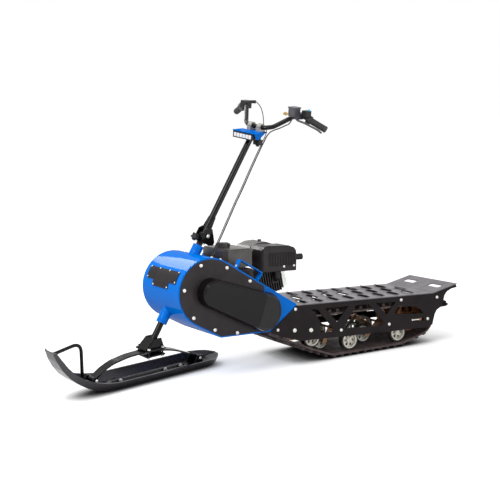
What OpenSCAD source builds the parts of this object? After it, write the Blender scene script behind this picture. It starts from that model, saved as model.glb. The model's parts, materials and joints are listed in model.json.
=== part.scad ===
// Stand-on snow scooter: one steered ski in front, one rubber track behind.
// Millimetres. +X forward, +Y left, +Z up, floor at z = 0.
// The origin is on the floor under the middle of the track.

/* [Stance] */
// nose-up lean of the chassis on the floor, degrees
nose_up = 2.5; // [0:0.5:5]
// rake of the steering axis back from the chassis vertical, degrees
rake = 29.3; // [20:0.1:40]
// steering angle to the left as it stands, degrees
steer_rest = 18; // [0:1:25]

/* [Body] */
// radius of the rolled front drum
drum_r = 163; // [120:1:200]
// height of the drum axis over the chassis datum
drum_z = 364; // [300:1:420]
// inside width between the body plates
body_w = 376; // [320:2:420]
// thickness of the body plates and rolled sheet
sheet = 4; // [2:0.5:6]
// outer radius of the steering head tube
head_r = 26; // [22:0.5:34]
// depth of the belt cover's bump
bump_d = 60; // [30:1:80]
// slope of the body top behind the drum, degrees
top_slope = 30.5; // [20:0.5:40]

/* [Deck] */
// height of the deck top
deck_z = 274; // [240:1:300]
// front end of the deck
deck_front = -466; // [-500:1:-440]
// bend where the rear kick plate starts
deck_bend = -1289; // [-1340:1:-1200]
// rear end of the kick plate
deck_rear = -1444; // [-1500:1:-1400]
// rise of the kick plate
kick_rise = 38; // [10:1:80]
// width of the deck
deck_w = 396; // [340:2:420]
// spacing of the louvre rows along the deck
louvre_pitch = 92; // [70:1:120]
// height of a louvre's open front edge
louvre_h = 9; // [4:1:14]

/* [Track] */
// width of the belt
track_w = 372; // [300:2:400]
// thickness of the belt
belt_t = 9; // [5:0.5:12]
// height of the lugs
lug_h = 14; // [10:1:30]
// number of lug rows round the loop
lug_count = 42; // [30:1:50]
// radius of the rubber-tyred rollers
roller_r = 48; // [40:1:55]

/* [Ski] */
// width over the ski's side walls
ski_w = 160; // [120:2:200]
// width of its flat sole
sole_w = 110; // [80:2:150]
// width of the leaf spring
leaf_w = 40; // [30:2:50]

/* [Column] */
// radius of the folding column tube
column_r = 15; // [12:0.5:20]
// radius of the handlebar tube
bar_r = 11; // [10:0.5:13]
// length of the handlebar's bends on each side of their corners
bar_bend = 14; // [6:1:15]
// radius of the rubber grips
grip_r = 16; // [14:0.5:19]
// height of the bar clamps' frame up the steering axis
head_z = 1240; // [1150:5:1300]

/* [Hidden] */
// chassis point that stands on the world origin
datum = [-820, 0, -4.3];
// foot of the steering axis on the chassis datum
axis_foot = [277, 0, 0];
// fold pin's place up the steering axis
fold_z = 703;
half = body_w/2;
// height of the floor in chassis coordinates at a given x
function floor_z(x) = datum[2] - (x - datum[0])*tan(nose_up);
// height of a roller axle on the flat run
function flat_z(x) = floor_z(x) + (lug_h + belt_t + roller_r)/cos(nose_up);
// wheels inside the belt: x, z, radius, from the rear idler along the ground
idler = [-1215, 142, 75];
driver = [-454, 152, 52];
roller_x = [-1097, -950, -801, -690];
ramp_roller = [-578, 99, roller_r];
wheels = [
    idler,
    for (x = roller_x) [x, flat_z(x), roller_r],
    ramp_roller,
    driver
];
wheel_n = len(wheels);
// bogie pivots: x, z
pivots = [[-547, 145], [-723, 130], [-1014, 134]];
// ski height under the axis foot, so the rest pose puts its left edge on the floor
lean = rake + nose_up;
edge_drop = sole_w/2*sin(lean)*sin(steer_rest);
ski_pitch = atan(sin(lean)*cos(lean)*(1 - cos(steer_rest))
    /(pow(cos(lean), 2) + pow(sin(lean), 2)*cos(steer_rest)));
foot_height = (axis_foot[0] - datum[0])*sin(nose_up) + (axis_foot[2] - datum[2])*cos(nose_up);
ski_lift = (edge_drop - foot_height)/cos(lean);

// placing

module chassis() {
    rotate([0, -nose_up, 0]) translate(-datum) children();
}

module steered() {
    chassis() translate(axis_foot) rotate([0, -rake, 0]) rotate([0, 0, steer_rest]) children();
}

// ski coordinates: x forward along the sole, z up from it
module on_ski() {
    steered()
        translate([0, 0, ski_lift])
            rotate([0, lean - ski_pitch, 0]) children();
}

// bar coordinates: x forward and z up, level with the floor, on the turned column
module level() {
    steered() translate([0, 0, head_z]) rotate([0, lean, 0]) children();
}

module across(w) {
    translate([0, w/2, 0]) rotate([90, 0, 0]) linear_extrude(w) children();
}

module side(y0, t) {
    translate([0, y0 + t, 0]) rotate([90, 0, 0]) linear_extrude(t) children();
}

module rod(p, q, r) {
    v = q - p;
    translate(p)
        rotate([0, acos(v[2]/norm(v)), atan2(v[1], v[0])])
            cylinder(h = norm(v), r = r, $fn = 40);
}

module bar2d(p, q, w) {
    v = q - p;
    translate(p) circle(d = w, $fn = 32);
    translate(q) circle(d = w, $fn = 32);
    translate(p) rotate(atan2(v[1], v[0])) translate([0, -0.4*w]) square([norm(v), 0.8*w]);
}

// cuts a tube's corner back to where its bend starts
function cut_at(p, i, bend) = i == 0 || i == len(p) - 1 ? 0
    : bend*tan(acos(unit(p[i] - p[i - 1])*unit(p[i + 1] - p[i]))/2);
module elbow(a, p, b, r, bend) {
    u = unit(p - a);
    turn = acos(u*unit(b - p));
    n = unit(cross(u, unit(b - p)));
    in = cross(n, u);
    c = p - bend*tan(turn/2)*u + bend*in;
    multmatrix([
        [-in[0], u[0], n[0], c[0]],
        [-in[1], u[1], n[1], c[1]],
        [-in[2], u[2], n[2], c[2]]
    ]) rotate_extrude(angle = turn, $fn = 72) translate([bend, 0]) circle(r = r, $fn = 40);
}

// bent round tube through points
module tube(p, r, bend) {
    for (i = [0:len(p) - 2]) {
        v = unit(p[i + 1] - p[i]);
        rod(p[i] + cut_at(p, i, bend)*v, p[i + 1] - cut_at(p, i + 1, bend)*v, r);
    }
    for (i = [1:len(p) - 2]) elbow(p[i - 1], p[i], p[i + 1], r, bend);
}

// points with their corners rounded
function soften(p, d, n) = [
    p[0],
    for (i = [1:len(p) - 2])
        let (a = p[i] + d*unit(p[i - 1] - p[i]), b = p[i] + d*unit(p[i + 1] - p[i]))
        for (k = [0:n]) let (t = k/n) (1 - t)*(1 - t)*a + 2*t*(1 - t)*p[i] + t*t*b,
    p[len(p) - 1]
];

// strip of even thickness along points in a plane
function side_of(p, i) = let (t = tangent(p, i)) [-t[1], t[0]];
module strip2d(p, t) {
    m = len(p) - 1;
    polygon(concat(
        [for (i = [0:m]) p[i] + t/2*side_of(p, i)],
        [for (i = [m:-1:0]) p[i] - t/2*side_of(p, i)]));
}

// round tube swept along points
function unit(v) = v/norm(v);
function tangent(p, i) = unit(p[min(i + 1, len(p) - 1)] - p[max(i - 1, 0)]);
function ring(p, i, r, n, up) =
    let (t = tangent(p, i), a = unit(cross(t, up)), b = cross(t, a))
    [for (k = [0:n - 1]) p[i] + r*cos(k*360/n)*a + r*sin(k*360/n)*b];
module hose(p, r, n = 8, up = [0.05, 1, 0.02]) {
    m = len(p);
    pts = [for (i = [0:m - 1]) each ring(p, i, r, n, up)];
    sides = [for (i = [0:m - 2], k = [0:n - 1])
        [i*n + k, (i + 1)*n + k, (i + 1)*n + (k + 1)%n, i*n + (k + 1)%n]];
    ends = [[for (k = [0:n - 1]) k], [for (k = [n - 1:-1:0]) (m - 1)*n + k]];
    polyhedron(points = pts, faces = concat(sides, ends));
}

// belt path round the wheels

function beta(i) =
    let (a = wheels[(i + wheel_n)%wheel_n], b = wheels[(i + 1)%wheel_n], d = [b[0] - a[0], b[1] - a[1]])
    atan2(d[1], d[0]) - acos((a[2] - b[2])/norm(d));
function wrap(a) = a - 360*floor(a/360);
function arc(i) = wheels[i][2]*wrap(beta(i) - beta(i - 1))*PI/180;
function span(i) =
    let (a = wheels[i], b = wheels[(i + 1)%wheel_n], d = [b[0] - a[0], b[1] - a[1]])
    sqrt(d*d - pow(a[2] - b[2], 2));
function start(i) = i == 0 ? 0 : start(i - 1) + arc(i - 1) + span(i - 1);
starts = [for (i = [0:wheel_n]) start(i)];
loop_len = starts[wheel_n];
function seat(s, i = 0) = s < starts[i + 1] || i == wheel_n - 1 ? i : seat(s, i + 1);
// point at distance s along the belt's inner face, h above it
function belt_at(s, h) =
    let (u = s - loop_len*floor(s/loop_len), i = seat(u), w = wheels[i], t = u - starts[i],
         on_arc = t < arc(i), b = on_arc ? beta(i - 1) + t/w[2]*180/PI : beta(i),
         run = on_arc ? 0 : t - arc(i))
    [w[0] + (w[2] + h)*cos(b) - run*sin(b), w[1] + (w[2] + h)*sin(b) + run*cos(b)];
pitch = loop_len/lug_count;
// lug rows are counted from the one that stands on the world origin
from_origin = (wheels[2][0] - datum[0])*cos(nose_up) - (wheels[2][1] - datum[2])*sin(nose_up);
lug_start = starts[2] + arc(2) - from_origin;
lug_base = 22;
lug_tip = 14;
// lug columns across the belt: from, width, shift in pitches
lug_columns = [[16 - track_w/2, 106, 0.5], [-64, 128, 0], [64, 106, 0.5]];

module belt_2d() {
    run = [for (k = [0:4*lug_count - 1]) lug_start + k*pitch/4];
    difference() {
        polygon([for (s = run) belt_at(s, belt_t)]);
        polygon([for (s = run) belt_at(s, 0)]);
    }
}

// one lug's outline, its root sunk in the belt
module lug_2d(s) {
    polygon([
        belt_at(s - lug_base/2, belt_t - 3), belt_at(s - lug_tip/2, belt_t + lug_h),
        belt_at(s + lug_tip/2, belt_t + lug_h), belt_at(s + lug_base/2, belt_t - 3)]);
}

// body

module body_2d(in = 0) {
    r = drum_r - in;
    c = cos(top_slope);
    s = sin(top_slope);
    translate([0, drum_z]) circle(r = r, $fn = 96);
    polygon([
        [0, drum_z],
        [-r*s, drum_z + r*c],
        [-464 + in, drum_z + r/c - (464 - in)*s/c],
        [-464 + in, drum_z + r/c - (464 - in)*s/c - 8],
        [-334, 158 + in],
        [-56, 152 + in],
        [r*sin(28), drum_z - r*cos(28)]
    ]);
}

module drum_shell() {
    color("#0A6FD2") chassis() difference() {
        across(body_w) difference() {
            body_2d(0.2);
            body_2d(sheet);
            polygon([[-70, 330], [-70, 700], [-700, 700], [-700, 100], [-340, 100], [-340, 330]]);
        }
        translate(axis_foot) rotate([0, -rake, 0])
            translate([0, 0, 200]) cylinder(h = 520, r = head_r, $fn = 48);
    }
}

module plate_left() {
    color("#0A6FD2") chassis() side(half, sheet) body_2d();
}

module plate_right() {
    color("#0A6FD2") chassis() side(-half - sheet, sheet) body_2d();
}

module head_tube() {
    color("#0A6FD2") chassis() translate(axis_foot) rotate([0, -rake, 0]) difference() {
        translate([0, 0, 243]) cylinder(h = 404, r = head_r, $fn = 48);
        translate([0, 0, 200]) cylinder(h = 520, r = column_r + 1, $fn = 48);
    }
}

module cover_2d(in) {
    difference() {
        body_2d(7 + in);
        polygon([[-284, 600], [-700, 600], [-700, 0], [-284, 0]]);
    }
    translate([-284, 256]) circle(r = 96 - in, $fn = 64);
}

// bump of the belt cover: a tapered capsule between two pulley places
front_p = [3, 368];
front_r = 71;
rear_p = [-284, 256];
rear_r = 96;
bump_n = 24;
function bump_at(in) =
    let (d = rear_p - front_p, a = atan2(d[1], d[0]), g = acos((front_r - rear_r)/norm(d)),
         f = [for (k = [0:bump_n])
             let (b = a + g + k*(360 - 2*g)/bump_n) front_p + (front_r - in)*[cos(b), sin(b)]],
         q = [for (k = [0:bump_n])
             let (b = a - g + k*2*g/bump_n) rear_p + (rear_r - in)*[cos(b), sin(b)]])
    concat(f, [0.123*f[bump_n] + 0.877*q[0]], q, [0.906*q[bump_n] + 0.094*f[0]]);
// share of the depth that is left behind the crease
function crease(p) = min(1, 1 + 0.006*([-0.947, -0.321]*([-275, 353] - p)));
function bump_ring(in, depth, fall) =
    [for (p = bump_at(in)) [p[0], depth*(fall ? max(0.15, crease(p)) : 1), p[1]]];
module bump() {
    n = bump_n;
    m = 2*n + 4;
    pts = concat(bump_ring(2, -2.5, false), bump_ring(11, 0.86*bump_d, true), bump_ring(22, bump_d, true));
    walls = [for (r = [0, 1], k = [0:m - 1]) each [
        [r*m + k, (r + 1)*m + k, (r + 1)*m + (k + 1)%m],
        [r*m + k, (r + 1)*m + (k + 1)%m, r*m + (k + 1)%m]]];
    lid = concat(
        [for (k = [0:n/2 - 1]) each [[k, n - k, n - k - 1], [k, n - k - 1, k + 1]]],
        [[0, n + 1, n], [0, 2*n + 3, n + 1], [2*n + 3, n + 2, n + 1], [2*n + 3, 2*n + 2, n + 2]],
        [for (k = [0:n/2 - 1]) each [
            [n + 2 + k, 2*n + 2 - k, 2*n + 1 - k], [n + 2 + k, 2*n + 1 - k, n + 3 + k]]]);
    top = [for (f = lid) [2*m + f[0], 2*m + f[2], 2*m + f[1]]];
    base = [[for (k = [0:m - 1]) k]];
    polyhedron(points = pts, faces = concat(walls, top, base));
}

module belt_cover() {
    color("#1C1C1E") chassis() union() {
        side(half + sheet, 3) cover_2d(0);
        translate([0, half + sheet + 3, 0]) bump();
    }
}

module name_panel() {
    color("#1C1C1E") chassis() intersection() {
        translate([0, 0, drum_z]) rotate([90, 0, 0]) difference() {
            cylinder(h = 320, r = drum_r + 3, center = true, $fn = 96);
            cylinder(h = 340, r = drum_r, center = true, $fn = 96);
        }
        translate([90, 0, 0]) rotate([90, 0, 90]) linear_extrude(100) polygon([
            [-152, drum_z + 46], [-80, drum_z + 46], [-80, drum_z + 17], [80, drum_z + 17],
            [80, drum_z + 46], [152, drum_z + 46], [152, drum_z + 100], [-152, drum_z + 100]]);
    }
}

handle_pts = [[-137, 453], [-163, 508], [-281, 439], [-246, 390]];
module side_handles() {
    color("#0A6FD2") chassis() for (y = [half - 30, -half])
        side(y + 0.1, 29.8) strip2d(soften(handle_pts, 8, 3), 5);
}

// engine

module engine_bed() {
    color("#2A2A2C") chassis() translate([-330, -half + 0.1, 296]) cube([262, body_w - 0.2, 5]);
}

module crankcase() {
    color("#3A3A3C") chassis() union() {
        across(220) polygon([
            [-301, 301], [-85, 301], [-70, 340], [-70, 420], [-90, 452], [-270.5, 452]]);
        translate([-296, -116, 301]) cube([221, 232, 14]);
        translate([-190, 0, 392]) rotate([90, 0, 0]) cylinder(h = 236, r = 52, center = true, $fn = 64);
    }
}

cyl_at = [-290, 15, 356];
cyl_tilt = 78.4;
module engine_cylinder() {
    color("#4A4A4C") chassis() translate(cyl_at) rotate([0, -cyl_tilt, 0]) union() {
        translate([-44, -54, 0.2]) cube([88, 108, 160]);
        for (k = [0:10]) translate([-50, -72, 14 + 13*k]) cube([104, 152, 5]);
        translate([0, -96, 120]) rotate([-90, 0, 0]) cylinder(h = 30, r = 9, $fn = 32);
    }
}

module rocker_cover() {
    color("#B9B9B4") chassis() translate(cyl_at) rotate([0, -cyl_tilt, 0]) union() {
        translate([-44, -56, 160.4]) cube([84, 134, 8]);
        translate([-38, -50, 168.4]) cube([72, 122, 16]);
    }
}

module tank_2d(in) {
    polygon([
        [-274 + in, -115 + in], [-118 - in, -115 + in], [-118 - in, 84 - in],
        [-140 - in/2, 110 - in], [-274 + in, 110 - in]]);
}

module fuel_tank() {
    color("#202022") chassis() union() {
        translate([0, 0, 463]) linear_extrude(74) tank_2d(4);
        translate([0, 0, 536]) linear_extrude(7) tank_2d(0);
        translate([0, 0, 542]) linear_extrude(7) tank_2d(8);
        translate([-250, -90, 453]) cube([110, 170, 11]);
    }
}

module fuel_cap() {
    color("#202022") chassis() translate([-170, 0, 549.2]) union() {
        cylinder(h = 20, r = 32, $fn = 64);
        translate([0, 0, 20]) cylinder(h = 3, r = 26, $fn = 64);
        for (k = [0:11]) rotate(30*k) translate([31, -3, 2]) cube([4, 6, 16]);
    }
}

muffler_2d = [
    [-512, 430], [-322, 430], [-318, 436], [-318, 536], [-332, 551], [-352, 556], [-470, 553],
    [-496, 543], [-510, 525], [-513, 505]
];
module muffler() {
    color("#262626") chassis() difference() {
        union() {
            side(4, 112) polygon(muffler_2d);
            side(116, 4) intersection() {
                polygon(muffler_2d);
                translate([-508, 433]) square([184, 114]);
            }
            translate([-556, 92, 493]) rotate([0, 90, 0]) cylinder(h = 46, r = 15, $fn = 40);
        }
        for (k = [0:16]) translate([-502 + 9*k, 117, 456]) cube([4, 6, 66]);
        translate([-530, 3, 420]) cube([230, 94, 26]);
        translate([-558, 92, 493]) rotate([0, 90, 0]) cylinder(h = 40, r = 11, $fn = 40);
    }
}

module exhaust_pipe() {
    color("#2A2A2C") chassis() union() {
        tube([[-404, 96, 392], [-404, 112, 392], [-404, 112, 429.8]], 12, 14);
        translate([-422, 95.3, 374]) cube([36, 6, 36]);
    }
}

module air_cleaner() {
    color("#262626") chassis() union() {
        side(-132, 128) polygon([
            [-468, 462], [-312, 462], [-308, 478], [-310, 526], [-326, 545], [-366, 560],
            [-412, 563], [-448, 552], [-466, 534], [-471, 500]]);
        translate([-412, -68, 562]) cylinder(h = 8, r = 9, $fn = 32);
        translate([-314, -120, 464]) cube([39, 80, 46]);
    }
}

module recoil_starter() {
    color("#262626") chassis() translate([-190, -118.2, 392]) rotate([90, 0, 0]) difference() {
        union() {
            cylinder(h = 28, r = 88, $fn = 72);
            translate([0, 0, 28]) cylinder(h = 10, r = 62, $fn = 72);
        }
        for (k = [0:11]) rotate(30*k + 8) translate([68, -4, 12]) cube([14, 8, 30]);
        for (k = [0:7]) rotate(45*k) translate([30, -4, 30]) cube([24, 8, 20]);
    }
}

// deck

louvre_rows = [[110, 0, 8], [-124, 0, 8], [-7, -44, 8]];
hole_y = [-103, 103];
module deck() {
    slope = atan(kick_rise/(deck_bend - deck_rear));
    color("#8E8890") chassis() union() {
        difference() {
            across(deck_w) polygon([
                [deck_front, deck_z],
                [deck_bend, deck_z],
                [deck_rear, deck_z + kick_rise],
                [deck_rear, deck_z + kick_rise - sheet],
                [deck_bend, deck_z - sheet],
                [deck_front, deck_z - sheet]
            ]);
            for (r = louvre_rows, k = [0:r[2] - 1])
                translate([-558 + r[1] - louvre_pitch*k, r[0] - 45, deck_z - 10]) cube([27, 90, 20]);
            for (y = hole_y) translate([-1376, y, deck_z + 20]) rotate([0, slope, 0])
                linear_extrude(60, center = true) union() {
                    square([36, 80], center = true);
                    square([24, 92], center = true);
                    for (a = [-12, 12], b = [-40, 40]) translate([a, b]) circle(r = 6, $fn = 24);
                }
        }
        for (r = louvre_rows, k = [0:r[2] - 1])
            translate([-558 + r[1] - louvre_pitch*k, r[0], deck_z]) across(84) polygon([
                [-1, 0], [-1, -3], [1, -3], [21, louvre_h - 3], [21, louvre_h], [19, louvre_h]]);
    }
}

side_outline = [
    [-463, 270], [-1289, 270], [-1440, 307], [-1446, 292], [-1410, 287], [-1382, 274], [-1366, 255],
    [-1360, 232], [-1378, 224], [-1378, 198], [-1340, 196], [-1316, 182], [-1304, 162], [-1290, 110],
    [-1262, 97], [-484, 97], [-427, 116], [-371, 131], [-321, 158]
];
windows = [
    [[-549, 247], [-586, 243], [-680, 137], [-662, 126], [-607, 126], [-598, 186]],
    [[-626, 245], [-767, 246], [-699, 172]],
    [[-809, 245], [-888, 246], [-981, 146], [-963, 132], [-745, 133], [-742, 144]],
    [[-930, 248], [-1054, 244], [-999, 185], [-980, 199]],
    [[-1076, 224], [-1036, 182], [-1230, 171], [-1213, 193], [-1175, 211]]
];
module side_2d() {
    difference() {
        polygon(side_outline);
        for (w = windows) polygon(w);
        translate([-1234, 134]) square([80, 16]);
        translate([-1369, 211]) circle(r = 8, $fn = 32);
    }
}

module deck_side_left() {
    color("#1C1C1E") chassis() side(half + sheet, sheet) side_2d();
}

module deck_side_right() {
    color("#1C1C1E") chassis() side(-half - 2*sheet, sheet) side_2d();
}

upper_tubes = [[-458, 254], [-1087, 252], [-1316, 249]];
module cross_tubes() {
    color("#2A2A2C") chassis() {
        for (p = pivots) translate([p[0], 0, p[1]]) rotate([90, 0, 0])
            cylinder(h = 2*(half + sheet) - 0.2, r = 6, center = true, $fn = 32);
        for (p = upper_tubes) translate([p[0], 0, p[1]]) rotate([90, 0, 0])
            cylinder(h = 2*half - 0.2, r = 7, center = true, $fn = 32);
    }
}

pin_l = 14;
module tow_bar() {
    color("#2A2A2C") chassis() translate([-1369, 0, 211]) rotate([90, 0, 0]) union() {
        cylinder(h = 2*(half + 2*sheet + 2), r = 7.9, center = true, $fn = 32);
        cylinder(h = 2*(half + 2*sheet + 2 + pin_l), r = 7, center = true, $fn = 32);
    }
}

// running gear

module track_belt() {
    color("#1E1A18") chassis() union() {
        across(track_w) belt_2d();
        for (c = lug_columns, k = [0:lug_count - 1])
            side(c[0], c[1]) lug_2d(lug_start + (k + c[2])*pitch);
    }
}

module wheel_pair(w, y0, y1, r) {
    for (m = [-1, 1]) translate([w[0], m*(y0 + y1)/2, w[1]]) rotate([90, 0, 0])
        cylinder(h = y1 - y0, r = r, center = true, $fn = 56);
}

// spoked wheel turned about z: rim, web with six holes, boss
module spoked(r, w, boss) {
    difference() {
        rotate_extrude($fn = 72) polygon([
            [0, -w/2], [boss, -w/2], [boss, -3], [r - 7, -3], [r - 7, -w/2], [r, -w/2],
            [r, w/2], [r - 7, w/2], [r - 7, 3], [boss, 3], [boss, w/2 - 3], [0, w/2 - 3]]);
        for (k = [0:5]) rotate(60*k) translate([(boss + r - 7)/2, 0, 0])
            cylinder(h = 20, r = 0.36*(r - 7 - boss), center = true, $fn = 32);
    }
}

module spoked_pair(w, y0, y1, r, boss) {
    for (m = [-1, 1]) translate([w[0], m*(y0 + y1)/2, w[1]]) rotate([m*-90, 0, 0]) spoked(r, y1 - y0, boss);
}

module drive_wheels() {
    color("#B98A4E") chassis() union() {
        spoked_pair(driver, 60, 92, driver[2] - 1, 22);
        spoked_pair(driver, 146, 176, driver[2] - 1, 22);
        translate([driver[0], 0, driver[1]]) rotate([90, 0, 0])
            cylinder(h = 2*(half + sheet) - 0.2, r = 13, center = true, $fn = 32);
    }
}

module idler_wheels() {
    color("#B98A4E") chassis() union() {
        spoked_pair(idler, 60, 92, idler[2] - 1, 24);
        translate([idler[0], 0, idler[1]]) rotate([90, 0, 0])
            cylinder(h = 2*(half + sheet) - 0.2, r = 7.5, center = true, $fn = 32);
    }
}

outer_rollers = [wheels[1], wheels[3], ramp_roller];
inner_rollers = [wheels[2], wheels[4]];
module roller_hubs() {
    color("#D8D5C8") chassis() {
        for (w = outer_rollers) spoked_pair(w, 128, 160, 40, 13);
        for (w = inner_rollers) spoked_pair(w, 30, 62, 40, 13);
    }
}

module tyre(w, y0, y1) {
    difference() {
        wheel_pair(w, y0, y1, roller_r - 0.8);
        wheel_pair(w, y0 - 1, y1 + 1, 40);
    }
}

module roller_tyres() {
    color("#141414") chassis() {
        for (w = outer_rollers) tyre(w, 130, 158);
        for (w = inner_rollers) tyre(w, 32, 60);
    }
}

module bogie_arms() {
    color("#2A2A2C") chassis() union() {
        for (m = [-1, 1]) {
            side(m*98 - 3, 6) difference() {
                union() {
                    bar2d(pivots[0], [ramp_roller[0], ramp_roller[1]], 28);
                    bar2d(pivots[1], [wheels[3][0], wheels[3][1]], 28);
                    bar2d(pivots[1], [wheels[4][0], wheels[4][1]], 28);
                    bar2d(pivots[2], [wheels[1][0], wheels[1][1]], 28);
                    bar2d(pivots[2], [wheels[2][0], wheels[2][1]], 28);
                }
                for (p = pivots) translate(p) circle(r = 6.1, $fn = 32);
            }
            for (w = outer_rollers) translate([w[0], m*98, w[1]]) rotate([m*-90, 0, 0])
                cylinder(h = 30, r = 8, $fn = 32);
            for (w = inner_rollers) translate([w[0], m*59, w[1]]) rotate([m*-90, 0, 0])
                cylinder(h = 39, r = 8, $fn = 32);
        }
    }
}

// steering

fork_2d = [[26, 668], [26, 726], [10, 744], [-12, 744], [-36, 722], [-62, 696], [-62, 680], [-36, 668]];
module steer_stem() {
    color("#1C1C1E") steered() union() {
        translate([0, 0, 154]) cylinder(h = 512, r = column_r, $fn = 48);
        translate([0, 0, 664]) cylinder(h = 8, r = 26, $fn = 48);
        for (y = [-26, 20]) side(y, 6) polygon(fork_2d);
        translate([20, -26, 666]) cube([6, 52, 20]);
        translate([-60, -26, 681]) cube([6, 52, 13]);
        translate([0, 0, fold_z]) rotate([90, 0, 0]) cylinder(h = 60, r = 5, center = true, $fn = 32);
    }
}

module fold_knob() {
    color("#141414") steered() translate([26.2, 0, 674]) rotate([0, 90, 0]) union() {
        cylinder(h = 16, r = 7, $fn = 32);
        translate([0, 0, 15]) linear_extrude(16)
            polygon([for (a = [0:9:351]) (16 + 3.5*cos(5*a))*[cos(a), sin(a)]]);
    }
}

arch = [
    [243, 56], [192, 91], [138, 114], [50, 129], [-75, 134], [-187, 119], [-245, 104], [-322, 75],
    [-386, 46]
];
module leaf_spring() {
    color("#1C1C1E") on_ski() difference() {
        union() {
            across(leaf_w) strip2d(soften(arch, 16, 2), 8);
            for (e = [arch[0], arch[8]]) translate([e[0], 0, e[1]]) rotate([90, 0, 0])
                cylinder(h = leaf_w, r = 11, center = true, $fn = 40);
        }
        for (e = [arch[0], arch[8]]) translate([e[0], 0, e[1]]) rotate([90, 0, 0])
            cylinder(h = leaf_w + 2, r = 6.1, center = true, $fn = 32);
    }
}

clamp_bolts = [[-136, -37.4], [-136, 37.4], [-52, -37.4], [-52, 37.4]];
module spring_clamp() {
    color("#1C1C1E") union() {
        on_ski() {
            translate([-150, -42, 139]) cube([112, 84, 8]);
            translate([-150, -42, 110]) cube([112, 84, 7]);
            for (b = clamp_bolts) translate([b[0], b[1], 106]) cylinder(h = 50, r = 4, $fn = 24);
            for (y = [-32, 26]) side(y, 6) polygon([[-150, 143], [-38, 143], [-88, 192], [-128, 192]]);
            across(60) strip2d([[-38, 144], [-88, 191]], 6);
        }
        steered() translate([0, 0, 122]) cylinder(h = 31.8, r = 25, $fn = 48);
    }
}

// ski stations: along, up, tilt, half width, rim height, ridge height
stations = [
    [-528, 34, -28, 14, 6, 0], [-506, 22, -26, 46, 22, 0], [-478, 9, -20, 66, 34, 0],
    [-443, 1, -8, 76, 40, 0], [-408, 0, 0, 80, 42, 0], [-330, 0, 0, 80, 42, 0],
    [-316, 0, 0, 80, 42, 9], [120, 0, 0, 80, 44, 9], [134, 0, 0, 80, 44, 0],
    [190, 5, 9, 80, 44, 0], [245, 17, 16, 78, 42, 0], [300, 37, 25, 75, 37, 0],
    [350, 65, 33, 70, 32, 0], [397, 101, 43, 64, 27, 0], [436, 143, 52, 57, 23, 0],
    [466, 188, 60, 50, 19, 0], [486, 228, 66, 42, 12, 0]
];
// half of the channel's cross-section, from the sole's edge over the rim to the middle
function half_section(w, rim, ridge) =
    let (f = min(7, 0.6*rim))
    [[sole_w/ski_w*w, 0], [w, rim], [w - min(7, 0.3*w), rim], [0.62*w, f],
     [0.42*w, f], [0.37*w, f + ridge], [0.19*w, f + ridge], [0.14*w, f]];
function section(s) =
    let (h = half_section(s[3], s[4], s[5]), flip = [for (i = [7:-1:0]) [-h[i][0], h[i][1]]])
    [for (p = concat(h, flip)) [s[0] - p[1]*sin(s[2]), p[0], s[1] + p[1]*cos(s[2])]];
module ski() {
    m = len(stations);
    pts = [for (s = stations) each section(s)];
    walls = [for (i = [0:m - 2], k = [0:15]) each [
        [16*i + k, 16*(i + 1) + (k + 1)%16, 16*i + (k + 1)%16],
        [16*i + k, 16*(i + 1) + k, 16*(i + 1) + (k + 1)%16]]];
    rear = [for (k = [0:15]) k];
    tip = [for (k = [15:-1:0]) 16*(m - 1) + k];
    color("#2B2B2E") on_ski() union() {
        polyhedron(points = pts, faces = concat(walls, [rear, tip]));
        for (u = [-292, -195, 76]) translate([u - 4, -48, 4]) cube([8, 96, 9]);
    }
}

module bracket(tall) {
    translate([-28, -32, 0]) cube([56, 64, 5]);
    for (y = [-30, 24]) side(y, 6) polygon([[-26, 3], [26, 3], [14, tall + 12], [-14, tall + 12]]);
    translate([0, 0, tall]) rotate([90, 0, 0]) cylinder(h = 68, r = 6, center = true, $fn = 32);
}

module ski_fittings() {
    color("#1C1C1E") on_ski() {
        translate([251, 0, 26.1]) rotate([0, -15, 0]) bracket(31);
        translate([-386, 0, 7.2]) bracket(38.8);
        hose(soften([[295, 0, 41], [316, 0, 241], [473, 0, 213]], 48, 8), 8, 12);
    }
}

// column and controls

module column_tube() {
    color("#1C1C1E") difference() {
        union() {
            steered() translate([0, 0, 690]) cylinder(h = 575, r = column_r, $fn = 48);
            steered() translate([0, 0, fold_z]) rotate([90, 0, 0])
                cylinder(h = 38, r = 18, center = true, $fn = 48);
            steered() for (y = [-19, 14])
                side(y, 5) polygon([[17, 706], [5, 800], [-5, 800], [-17, 706]]);
            level() translate([-58, -44, 12]) cube([74, 88, 6]);
        }
        level() translate([-100, -60, 18]) cube([200, 120, 60]);
        steered() translate([0, 0, fold_z]) rotate([90, 0, 0])
            cylinder(h = 80, r = 5.2, center = true, $fn = 32);
    }
}

// left half of the bar: forward, left, up
bar_pts = [
    [-26, 0, 41], [-26, 52, 41], [-48, 90, 49], [-122, 166, 112], [-136, 195, 113], [-188, 300, 60]
];
// place on the straight end of the bar, from its last bend to its tip
function on_end(t) = bar_pts[4] + t*(bar_pts[5] - bar_pts[4]);

function mirror_y(p) = [p[0], -p[1], p[2]];
module handlebar() {
    color("#1C1C1E") level() hose(soften(concat(
        [for (i = [5:-1:1]) mirror_y(bar_pts[i])],
        [for (i = [1:5]) bar_pts[i]]), bar_bend, 5), bar_r, 20, [0.2, 0.05, 1]);
}

module grips() {
    color("#141414") level() for (m = [1, -1]) difference() {
        union() {
            rod_on(m, 0.36, 1.03, grip_r);
            rod_on(m, 0.34, 0.38, grip_r + 5);
        }
        rod_on(m, 0.3, 1.005, bar_r + 0.05);
    }
}

// rod along one straight end of the bar
module rod_on(m, t0, t1, r) {
    p = on_end(t0);
    q = on_end(t1);
    rod([p[0], m*p[1], p[2]], [q[0], m*q[1], q[2]], r);
}

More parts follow.
